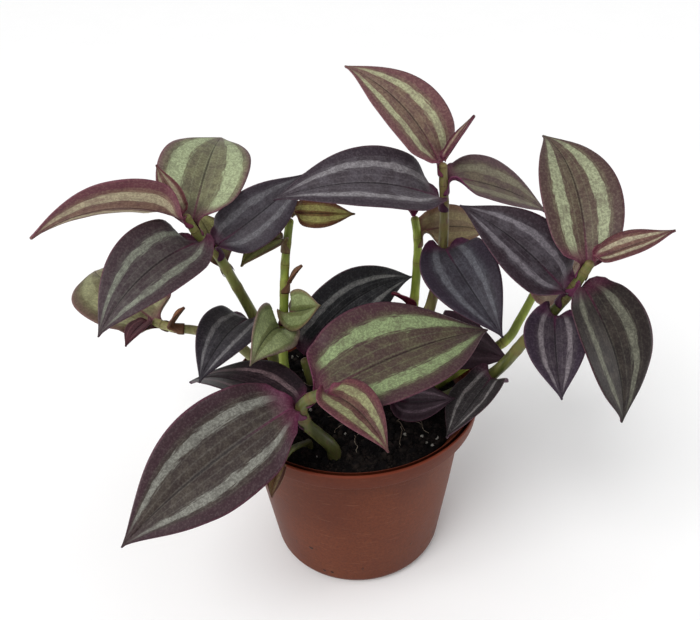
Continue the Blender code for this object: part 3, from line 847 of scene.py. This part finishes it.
# The green, the pale and the streak of each skin, and how strong its streaks are.
STEM_SKINS = {
    "green": ((66, 72, 32), (98, 100, 50), (66, 46, 42), 0.75),
    "bright": ((102, 106, 52), (134, 138, 78), (88, 60, 54), 0.7),
    "fresh": ((108, 122, 42), (150, 164, 68), (92, 72, 56), 0.5),
    "tan": ((128, 126, 78), (164, 164, 108), (130, 82, 82), 0.6),
    "purple": ((92, 86, 48), (124, 116, 70), (92, 52, 62), 0.95),
    # The dark skin is painted shade: the green skin darkened, for stems low under the leaves.
    "dark": ((56, 60, 28), (84, 88, 44), (72, 40, 46), 0.8),
}
stem_skins = {tone: stem_skin(tone + "_stem", *look) for tone, look in STEM_SKINS.items()}
STEM_TONES = {
    # stem_front and stem_rim take the dark skin, which is painted shade under the front leaves.
    "stem_front": "dark", "stem_rim": "dark", "stem_left_tall": "bright", "stem_left_low": "tan",
    "stem_back_left": "fresh", "stem_back": "fresh", "stem_tall": "purple",
    "stem_right_back": "fresh",
}
for stem in STEMS:
    skin = stem_skins[STEM_TONES.get(stem, "green")]
    piece = grow(add_piece(stem + "_tube", stem_line(stem)), tube, skin)
    finished(piece, "stem", stem)

# %% [markdown]
# ## The leaves
# A leaf begins as a sheath that clasps the stem below its node. Above the node it opens
# into a blade whose halves slope up from the midrib and curl at the margin. Leaves could be
# copies of one leaf, but then the plant would look like plastic. Here each grows from its own
# line of values: its midrib is walked in small steps, and rows of points are laid across
# it. Those rows make a sheet of quads.

# %% Rows across a leaf
CLEARANCE = 0.2            # between the stem's skin and the inside of a sheath
LEAF_THICKNESS = 0.6
SHEATH_LENGTH = 2.8
PACE_STEP = 0.3            # of a span, over which the stem's length per span is taken
SHEATH_SHARE = 0.4         # thickness of a sheath, as a share of the blade's
SHEATH_WRAP = 2.0          # half angle, in radians, that a sheath goes round its stem
THROAT_WRAP = 1.0          # the same, where the sheath opens into the blade
THROAT_FROM = -2.2         # where it starts to open, and where it has opened
THROAT_TO = 0.2
TERMINAL_WRAP = 0.7        # radius of the fold at a shoot's end, as a share of the stem's
LONGEST_BEND = 3.0         # in which a blade turns from the stem to its own direction
ROLL_DONE = 0.22           # shares of the length by which a blade has rolled, has
LEVEL_DONE = 0.15          # levelled out, and has spread to its full width
SPREAD_DONE = 0.07
FOLD = 12.0                # degrees that each half slopes up from the midrib
CUP = 14.0                 # degrees that each half curls
TIP_HALF_WIDTH = 0.18
HALF_COLUMNS = 14
BLADE_ROWS = 46
SHEATH_ROWS = 7
MIDRIB_STEPS = 120
EXTRA_ROWS = (0.006, 0.033, 0.056, 0.99, 0.996)


def ease(low, high, value):
    """Smooth step from 0 at low to 1 at high."""
    t = min(max((value - low) / (high - low), 0.0), 1.0)
    return t * t * (3 - 2 * t)


def blade_profile(fraction):
    """Width along the blade, 1 at its widest, rounded at the base and pointed at the tip."""
    reach = 0.04 + 0.96 * fraction ** 0.75
    return max(sin(pi * reach), 0.0) ** (0.6 + 0.55 * fraction)


def turn_towards(start, end, amount):
    """Direction a given amount of the way round from start to end."""
    angle = acos(min(max(float(start @ end), -1.0), 1.0))
    if angle < 0.0001 or amount >= 1:
        return end
    return (sin((1 - amount) * angle) * start + sin(amount * angle) * end) / sin(angle)


def leaf_sheet(stem, place, heading, pitch, length, width, droop, sweep, roll):
    """Rows of points from the foot of the sheath to the tip, and each row's distance."""
    node, along = curve_point(STEMS[stem], place)
    terminal = place == len(STEMS[stem]) - 1
    bend = min(LONGEST_BEND, 1.0 + 0.1 * length)
    wrap_radius = stem_radius(stem, place) + CLEARANCE + SHEATH_SHARE * LEAF_THICKNESS / 2
    heading_line = np.array([cos(radians(heading)), sin(radians(heading)), 0.0])
    outward = unit(heading_line - (heading_line @ along) * along)
    below = curve_point(STEMS[stem], place - PACE_STEP)[0]
    pace = np.linalg.norm(node - below) / PACE_STEP
    sheath_across = np.cross(outward, along)
    foot = node + wrap_radius * outward
    if terminal:
        wrap_radius = TERMINAL_WRAP * stem_radius(stem, place)
        foot = node + CLEARANCE * along + wrap_radius * outward

    def direction(distance):
        fraction = min(max(distance / length, 0.0), 1.0)
        compass = radians(heading + sweep * fraction)
        rise = radians(pitch - droop * fraction)
        free = np.array([cos(rise) * cos(compass), cos(rise) * sin(compass), sin(rise)])
        return turn_towards(along, free, ease(-0.5, bend, distance)), compass

    step = length / MIDRIB_STEPS
    midrib = [foot]
    for index in range(MIDRIB_STEPS):
        midrib.append(midrib[-1] + step * direction((index + 0.5) * step)[0])
    midrib = np.array(midrib)

    blade = sorted({*np.linspace(0, 1, BLADE_ROWS), *EXTRA_ROWS})
    distances = [share * length for share in blade]
    if not terminal:
        sheath = [-SHEATH_LENGTH * (1 - i / SHEATH_ROWS) for i in range(SHEATH_ROWS)]
        distances = sheath + distances
    rows = []
    for distance in distances:
        fraction = max(distance, 0.0) / length
        forward, compass = direction(distance)
        clasp = sheath_across
        if distance < 0:
            spot, forward = curve_point(STEMS[stem], place + distance / pace)
            away = unit(heading_line - (heading_line @ forward) * forward)
            centre = spot + wrap_radius * away
            clasp = np.cross(away, forward)
        else:
            index = distance / step
            low = min(int(index), MIDRIB_STEPS - 1)
            centre = midrib[low] + (index - low) * (midrib[low + 1] - midrib[low])
        level = np.array([sin(compass), -cos(compass), 0.0])
        side = clasp if clasp @ level > 0 else -clasp
        tilt = radians(roll) * ease(0.0, ROLL_DONE, fraction)
        level = cos(tilt) * level + sin(tilt) * np.cross(level, forward)
        across = side + (level - side) * ease(0.0, LEVEL_DONE, fraction)
        across = unit(across - (across @ forward) * forward)
        upward = np.cross(across, forward)
        if distance <= 0:
            opened = ease(THROAT_FROM, THROAT_TO, distance)
            wrap = SHEATH_WRAP - (SHEATH_WRAP - THROAT_WRAP) * opened
            half, curl, slope = wrap * wrap_radius, 1 / wrap_radius, 0.0
        else:
            open_blade = ease(0.0, bend, distance)
            spread = ease(0.0, SPREAD_DONE, fraction)
            full = max(width / 2 * blade_profile(fraction), TIP_HALF_WIDTH)
            half = min(wrap_radius, width / 2) * (1 - spread) + full * spread
            curl = (1 - open_blade) / wrap_radius + open_blade * radians(CUP) / (width / 2)
            slope = radians(FOLD) * open_blade * (1 - 0.5 * fraction)
        row = []
        for column in range(-HALF_COLUMNS, HALF_COLUMNS + 1):
            reach = half * abs(column) / HALF_COLUMNS
            sideways = (sin(slope + curl * reach) - sin(slope)) / curl
            height = (cos(slope) - cos(slope + curl * reach)) / curl
            row.append(centre + np.sign(column) * sideways * across + height * upward)
        rows.append(row)
    return np.array(rows), np.array(distances)


sample_rows = leaf_sheet(*LEAVES[0][1:])[0]
print("rows and columns of a leaf:", sample_rows.shape[:2])

# %% [markdown]
# The sheet carries what the next steps need on each point: across, from -1 at one margin to 1
# at the other; along, from 0 at the node to 1 at the tip, and negative in the sheath; and
# share, which is how much of the full thickness the leaf has there. It is 0 round the whole
# edge, so the two faces meet in a fine margin.

# %% Sheet of a leaf
def leaf_mesh(name, growth):
    rows, distances = leaf_sheet(*growth)
    count, wide = rows.shape[:2]
    faces = [(r * wide + c, r * wide + c + 1, (r + 1) * wide + c + 1, (r + 1) * wide + c)
             for r in range(count - 1) for c in range(wide - 1)]
    mesh = bpy.data.meshes.new(name)
    mesh.from_pydata([tuple(point) for point in rows.reshape(-1, 3) * MM], [], faces)
    across = np.tile(np.linspace(-1, 1, wide), count)
    along = np.repeat(distances / growth[4], wide)
    inner = np.minimum(distances - distances[0], distances[-1] - distances)
    ends = np.clip(inner / LEAF_THICKNESS, 0, 1)
    thin = np.interp(distances, (0, SHEATH_LENGTH), (SHEATH_SHARE, 1))
    share = np.sqrt(1 - across ** 8) * np.repeat(thin * np.sqrt(1 - (1 - ends) ** 2), wide)
    for label, values in (("across", across), ("along", along), ("share", share)):
        mesh.attributes.new(label, "FLOAT", "POINT").data.foreach_set("value", values)
    return mesh


print("points on the first leaf:", len(leaf_mesh("sample", LEAVES[0][1:]).vertices))

# %% [markdown]
# A tree turns the sheet into a leaf. It presses a channel along the midrib, raises fine
# parallel veins, and lets the blade heave a little, more towards the margin. Then it makes
# two copies, moves them apart along the normal by half the thickness each, flips the lower
# one so that both faces look outwards, and merges them where they meet at the edge.

# %% Tree of a leaf
CHANNEL_WIDTH = 0.11       # of the half width
VEINS = 6.0                # on each half
MERGE_MARGIN = 0.004
leaf_body = Shape("leaf_body", Thickness=LEAF_THICKNESS * MM, Channel=0.35 * MM, Veins=VEINS,
                  Vein_Height=0.05 * MM, Heave=1.1 * MM, Seed=0.0)
across = leaf_body.attribute("across")
along = leaf_body.attribute("along")
aside = abs(across)
open_part = along.rise(0.02, 0.16)
channel = aside.fall(0.0, CHANNEL_WIDTH) * leaf_body["Channel"] * along.rise(0.0, 0.08)
vein = leaf_body.maths("SINE", aside * leaf_body["Veins"] * 2 * pi)
ridges = vein * leaf_body["Vein_Height"] * open_part * aside.rise(0.1, 0.2)
swell = leaf_body.noise(leaf_body.position(), 75.0, 1.0, 0.4, leaf_body["Seed"]) - 0.5
heave = swell * leaf_body["Heave"] * open_part * (0.25 + 0.75 * aside)
normal = leaf_body.normal()
relief = leaf_body.shift(leaf_body["Geometry"],
                         leaf_body.scaled(normal, ridges + heave - channel))
half = leaf_body.attribute("share") * leaf_body["Thickness"] * 0.5
upper = leaf_body.shift(relief, leaf_body.scaled(normal, half))
upper = leaf_body.store(upper, "upper", 1.0)
lower = leaf_body.shift(relief, leaf_body.scaled(normal, -1 * half))
lower = leaf_body.store(lower, "upper", 0.0)
lower = leaf_body.node("GeometryNodeFlipFaces", {}, {"Mesh": lower})
both = leaf_body.join(upper, lower)
leaf_body.end(leaf_body.node("GeometryNodeMergeByDistance", {},
                             {"Geometry": both, "Distance": MERGE_MARGIN * MM}))
print("veins on each half:", int(VEINS))

# %% [markdown]
# ## Finish of the leaves
# The silver of a tradescantia is air under the clear skin, so its bands are granular and
# their edges are frayed into short streaks along the veins. One recipe paints them all. It
# works in across and along, so a band keeps its share of the width and the two bands meet
# at the tip, as the veins do. The recipe's layers, from the bottom: a dappled body, fine
# veins, the two bands, the margin, the midrib, and a magenta flush at the base. The
# underside has its own wine colour, but young leaves are thin and their upper face shows
# through it.

# %% Recipe for a leaf
GRAIN = 1500.0             # waves of the cell grain in one metre
STREAK = 1.7               # streaks in one millimetre across
FRAY = 0.30                # how far streaks fray a band's edge, of the half width
SWAY = 0.18                # how far the edge wanders
BAND_SOFTNESS = 0.03       # half the width of a band's soft edge
UNDERSIDES = {
    "leaf_dark": (72, 36, 58),
    "leaf_striped": (108, 54, 82),
    "leaf_young": (132, 76, 92),
    "leaf_olive": (112, 106, 64),
    "leaf_magenta": (112, 34, 70),
    "leaf_dry": (112, 78, 56),
}
# How much of the upper face's colour shows through the underside.
SEE_THROUGH = {"leaf_young": 0.75, "leaf_magenta": 0.75, "leaf_olive": 0.4}


def toned(colour, factor):
    """The colour made lighter or darker."""
    return tint(*[min(255, value * factor) for value in colour])


def halfway(first, second):
    return tint(*[0.5 * (a + b) for a, b in zip(first, second)])


def leaf_finish(name, growth, slot, band, body, dapple, margin, inner, outer, seed):
    """The finish of one leaf, from its colours and the two edges of its bands."""
    skin = Finish(name + "_skin", Specular_IOR_Level=0.14)
    half_width, length = growth[5] / 2, growth[4]
    across = skin.attribute("across")
    along = skin.attribute("along")
    upper = skin.attribute("upper")
    aside = abs(across)
    lines = skin.vector(across * half_width, along * length * 0.16, float(seed))
    streak = skin.noise(lines, STREAK, 4.0, 0.65, seed)
    slow = skin.noise(lines, 0.16, 1.0, 0.5, seed + 1.0)
    grain = skin.noise(skin.place, GRAIN, 3.0, 0.75, seed)
    cloud = skin.noise(skin.place, 260.0, 3.0, 0.6, seed + 2.0)
    edge = aside + (streak - 0.5) * FRAY + (slow - 0.5) * SWAY

    colour = skin.mix(cloud.rise(0.38, 0.62), tint(*body), tint(*dapple))
    veins = skin.maths("SINE", aside * VEINS * 2 * pi).rise(0.75, 1.0)
    colour = skin.mix(veins * streak * 0.22, colour, tint(*band))
    silver = edge.rise(inner - BAND_SOFTNESS, inner + BAND_SOFTNESS)
    silver = silver * edge.fall(outer - BAND_SOFTNESS, outer + BAND_SOFTNESS)
    silver = silver * along.rise(0.03, 0.13) * along.fall(0.84, 1.0)
    silver = silver * (0.72 + 0.28 * grain.rise(0.4, 0.6))
    silver = silver * (0.6 + 0.4 * cloud.rise(0.3, 0.55)) * (0.6 + 0.4 * streak.rise(0.3, 0.5))
    pale = toned(band, 1.16)
    deep = toned(band, 0.84)
    bright = skin.mix(grain.rise(0.45, 0.58), deep, pale)
    colour = skin.mix(silver, colour, bright)
    colour = skin.mix(edge.rise(outer + 0.02, outer + 0.2) * 0.85, colour, tint(*margin))
    colour = skin.mix(along.rise(0.76, 1.0) * 0.6, colour, tint(*margin))
    rim = halfway(margin, (150, 96, 112))
    colour = skin.mix(aside.rise(0.95, 0.985) * 0.7, colour, rim)
    dark = toned(body, 0.5)
    flush = halfway(margin, (128, 30, 84))
    base = along.fall(0.05, 0.34)
    rib = (aside * half_width).fall(0.12, 0.45 + base * 0.6)
    colour = skin.mix(rib * 0.75, colour, skin.mix(base, dark, flush))
    colour = skin.mix(along.fall(0.02, 0.14) * 0.75, colour, flush)
    colour = skin.mix(grain.rise(0.46, 0.58) * 0.30, colour, dark)
    colour = skin.mix(grain.fall(0.38, 0.50) * 0.06, colour, pale)
    sheath = along.fall(-0.02, 0.02)
    skirt = skin.mix(streak.rise(0.34, 0.54), tint(98, 88, 56), flush)
    colour = skin.mix(sheath * 0.8, colour, skirt)
    under = UNDERSIDES[slot]
    wine = skin.mix(streak.rise(0.35, 0.7), tint(*under), toned(under, 0.72))
    through = SEE_THROUGH.get(slot, 0.0)
    colour = skin.mix(upper.rise(0.3, 0.7) * (1 - through) + through, wine, colour)
    skin.put(Base_Color=colour, Roughness=0.40 + 0.14 * grain + 0.08 * silver)
    skin.bump(grain * 0.6 + streak * 0.5 + cloud, 0.10)
    return skin


print("undersides:", len(UNDERSIDES))

# %% [markdown]
# The plant shows its age in its colours. Young leaves at the shoot ends are yellow-green
# and mauve, full-grown ones in the light are brown with clear green bands, and old ones in
# the shade are near-black with thin dull bands; the slate-grey cast in their colours is a
# painted sheen, the painted reflection of the bright surroundings. So each leaf has a line
# here: the slot of its finish, the colours of its bands, body, dapple and margin, and where
# the bands begin and end across the half width.

# %% Colours of each leaf
# The grey-lilac slate cast of the leaf_dark leaves is a painted sheen, a painted reflection mixed
# into their colours.
LOOKS = {
    "leaf_front_left": (
        "leaf_striped", (130, 130, 122), (52, 42, 40), (66, 58, 52), (54, 30, 40), 0.42, 0.60),
    "leaf_front_right": (
        "leaf_striped", (148, 166, 120), (78, 60, 58), (90, 80, 66), (76, 46, 56), 0.42, 0.68),
    "leaf_front_young": (
        "leaf_young", (146, 148, 108), (84, 52, 52), (98, 70, 62), (96, 52, 60), 0.28, 0.62),
    "leaf_over_rim": (
        "leaf_olive", (140, 120, 80), (130, 100, 66), (112, 84, 56), (84, 48, 44), 0.30, 0.60),
    "leaf_left_crown": (
        "leaf_young", (178, 190, 150), (104, 98, 80), (124, 122, 94), (112, 84, 86), 0.42, 0.78),
    "leaf_left_reaching": (
        "leaf_young", (214, 208, 170), (116, 92, 80), (136, 112, 92), (98, 50, 64), 0.26, 0.60),
    "leaf_left_bud": (
        "leaf_magenta", (170, 160, 134), (118, 88, 80), (130, 100, 92), (96, 48, 54), 0.30, 0.62),
    "leaf_left_hanging": (
        "leaf_striped", (134, 138, 124), (68, 56, 60), (80, 72, 72), (66, 50, 56), 0.40, 0.60),
    "leaf_left_behind": (
        "leaf_olive", (160, 160, 104), (134, 130, 84), (122, 116, 76), (116, 88, 66), 0.30, 0.70),
    "leaf_left_inner": (
        "leaf_dark", (112, 110, 114), (66, 60, 66), (80, 76, 82), (54, 46, 54), 0.38, 0.58),
    "leaf_left_dark": (
        "leaf_dark", (138, 136, 138), (56, 53, 58), (70, 67, 72), (46, 40, 48), 0.40, 0.56),
    "leaf_low_round": (
        "leaf_olive", (152, 152, 114), (98, 92, 64), (122, 118, 86), (94, 68, 62), 0.34, 0.70),
    "leaf_low_magenta": (
        "leaf_magenta", (110, 72, 76), (72, 42, 48), (84, 50, 56), (66, 34, 40), 0.50, 0.60),
    "leaf_low_amber": (
        "leaf_dry", (150, 104, 66), (132, 84, 52), (112, 70, 46), (118, 72, 50), 0.30, 0.60),
    "leaf_rim_left": (
        "leaf_dark", (112, 92, 96), (30, 19, 24), (38, 26, 32), (24, 14, 20), 0.42, 0.56),
    "leaf_middle_back": (
        "leaf_dark", (130, 130, 128), (34, 34, 37), (52, 52, 54), (32, 30, 34), 0.36, 0.52),
    "leaf_pale_heart": (
        "leaf_young", (160, 172, 124), (104, 112, 72), (116, 122, 80), (120, 102, 92), 0.24, 0.74),
    "leaf_pale_round": (
        "leaf_young", (146, 158, 110), (100, 108, 64), (112, 118, 74), (118, 104, 76), 0.24, 0.74),
    "sheath_dry": (
        "leaf_dry", (140, 104, 74), (120, 84, 60), (104, 74, 54), (110, 76, 54), 0.30, 0.60),
    "leaf_back_left_amber": (
        "leaf_olive", (158, 154, 92), (104, 74, 48), (118, 104, 58), (84, 44, 34), 0.20, 0.60),
    "leaf_back_left_olive": (
        "leaf_olive", (134, 138, 76), (110, 112, 58), (98, 96, 54), (104, 80, 62), 0.30, 0.70),
    "leaf_tall_left": (
        "leaf_dark", (146, 142, 145), (70, 63, 68), (84, 78, 84), (56, 46, 54), 0.40, 0.58),
    "leaf_tall_top": (
        "leaf_young", (176, 178, 142), (104, 78, 74), (120, 98, 84), (108, 68, 74), 0.38, 0.60),
    "leaf_tall_bud": (
        "leaf_young", (164, 146, 124), (92, 54, 62), (106, 66, 72), (80, 34, 50), 0.28, 0.60),
    "leaf_tall_right": (
        "leaf_striped", (130, 126, 106), (92, 78, 74), (104, 94, 80), (88, 66, 72), 0.36, 0.64),
    "leaf_tall_low": (
        "leaf_dark", (98, 98, 104), (52, 48, 55), (64, 62, 69), (44, 34, 46), 0.38, 0.56),
    "leaf_tall_foot": (
        "leaf_dark", (84, 66, 74), (56, 38, 46), (64, 46, 54), (52, 32, 42), 0.40, 0.54),
    "leaf_back_olive": (
        "leaf_olive", (146, 134, 98), (122, 104, 80), (128, 110, 84), (116, 84, 64), 0.32, 0.66),
    "leaf_back_bud": (
        "leaf_magenta", (104, 46, 72), (76, 22, 48), (88, 30, 56), (72, 18, 44), 0.50, 0.60),
    "leaf_back_low": (
        "leaf_magenta", (110, 50, 56), (88, 22, 34), (98, 32, 42), (84, 20, 32), 0.50, 0.60),
    "leaf_right_inner": (
        "leaf_dark", (120, 114, 120), (52, 44, 50), (72, 66, 72), (42, 28, 36), 0.38, 0.56),
    "leaf_right_crown": (
        "leaf_striped", (162, 168, 136), (84, 66, 60), (98, 86, 72), (78, 56, 56), 0.33, 0.64),
    "leaf_right_reaching": (
        "leaf_young", (172, 164, 138), (92, 58, 56), (110, 80, 70), (84, 44, 50), 0.30, 0.58),
    "leaf_right_hanging": (
        "leaf_striped", (112, 112, 98), (40, 33, 32), (54, 47, 43), (38, 30, 30), 0.42, 0.60),
    "leaf_right_heart": (
        "leaf_dark", (126, 118, 122), (54, 45, 54), (66, 58, 64), (48, 36, 50), 0.36, 0.54),
    "leaf_over_right_rim": (
        "leaf_dark", (156, 152, 150), (50, 46, 48), (66, 62, 63), (40, 34, 36), 0.42, 0.56),
    "leaf_right_back_pale": (
        "leaf_olive", (180, 162, 142), (168, 146, 130), (156, 136, 118), (150, 118, 108),
        0.30, 0.70),
    "leaf_centre_low": (
        "leaf_dark", (110, 92, 102), (52, 38, 46), (62, 48, 56), (44, 26, 36), 0.40, 0.54),
}
for index, (name, *growth) in enumerate(LEAVES):
    slot, *look = LOOKS[name]
    skin = leaf_finish(name, growth, slot, *look, 3.0 * index)
    blade = add_piece(name + "_blade", leaf_mesh(name, growth))
    leaf = grow(blade, leaf_body, skin, Seed=5.0 * index)
    finished(leaf, slot, name)

# %% [markdown]
# A leaf has to lie where the CAD part has it. The largest step between the two boxes of
# any leaf is a quick test of that, and it should stay near a millimetre.

# %% Check the leaves against the frame
steps = {}
for name, *growth in LEAVES:
    corners = np.array([corner.co for corner in bpy.data.objects[name + "_blade"].data.vertices])
    low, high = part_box(name)
    steps[name] = max(np.abs(corners.min(0) - low).max(), np.abs(corners.max(0) - high).max()) / MM
worst = max(steps, key=steps.get)
print("largest step, mm:", round(steps[worst], 2), "at", worst)
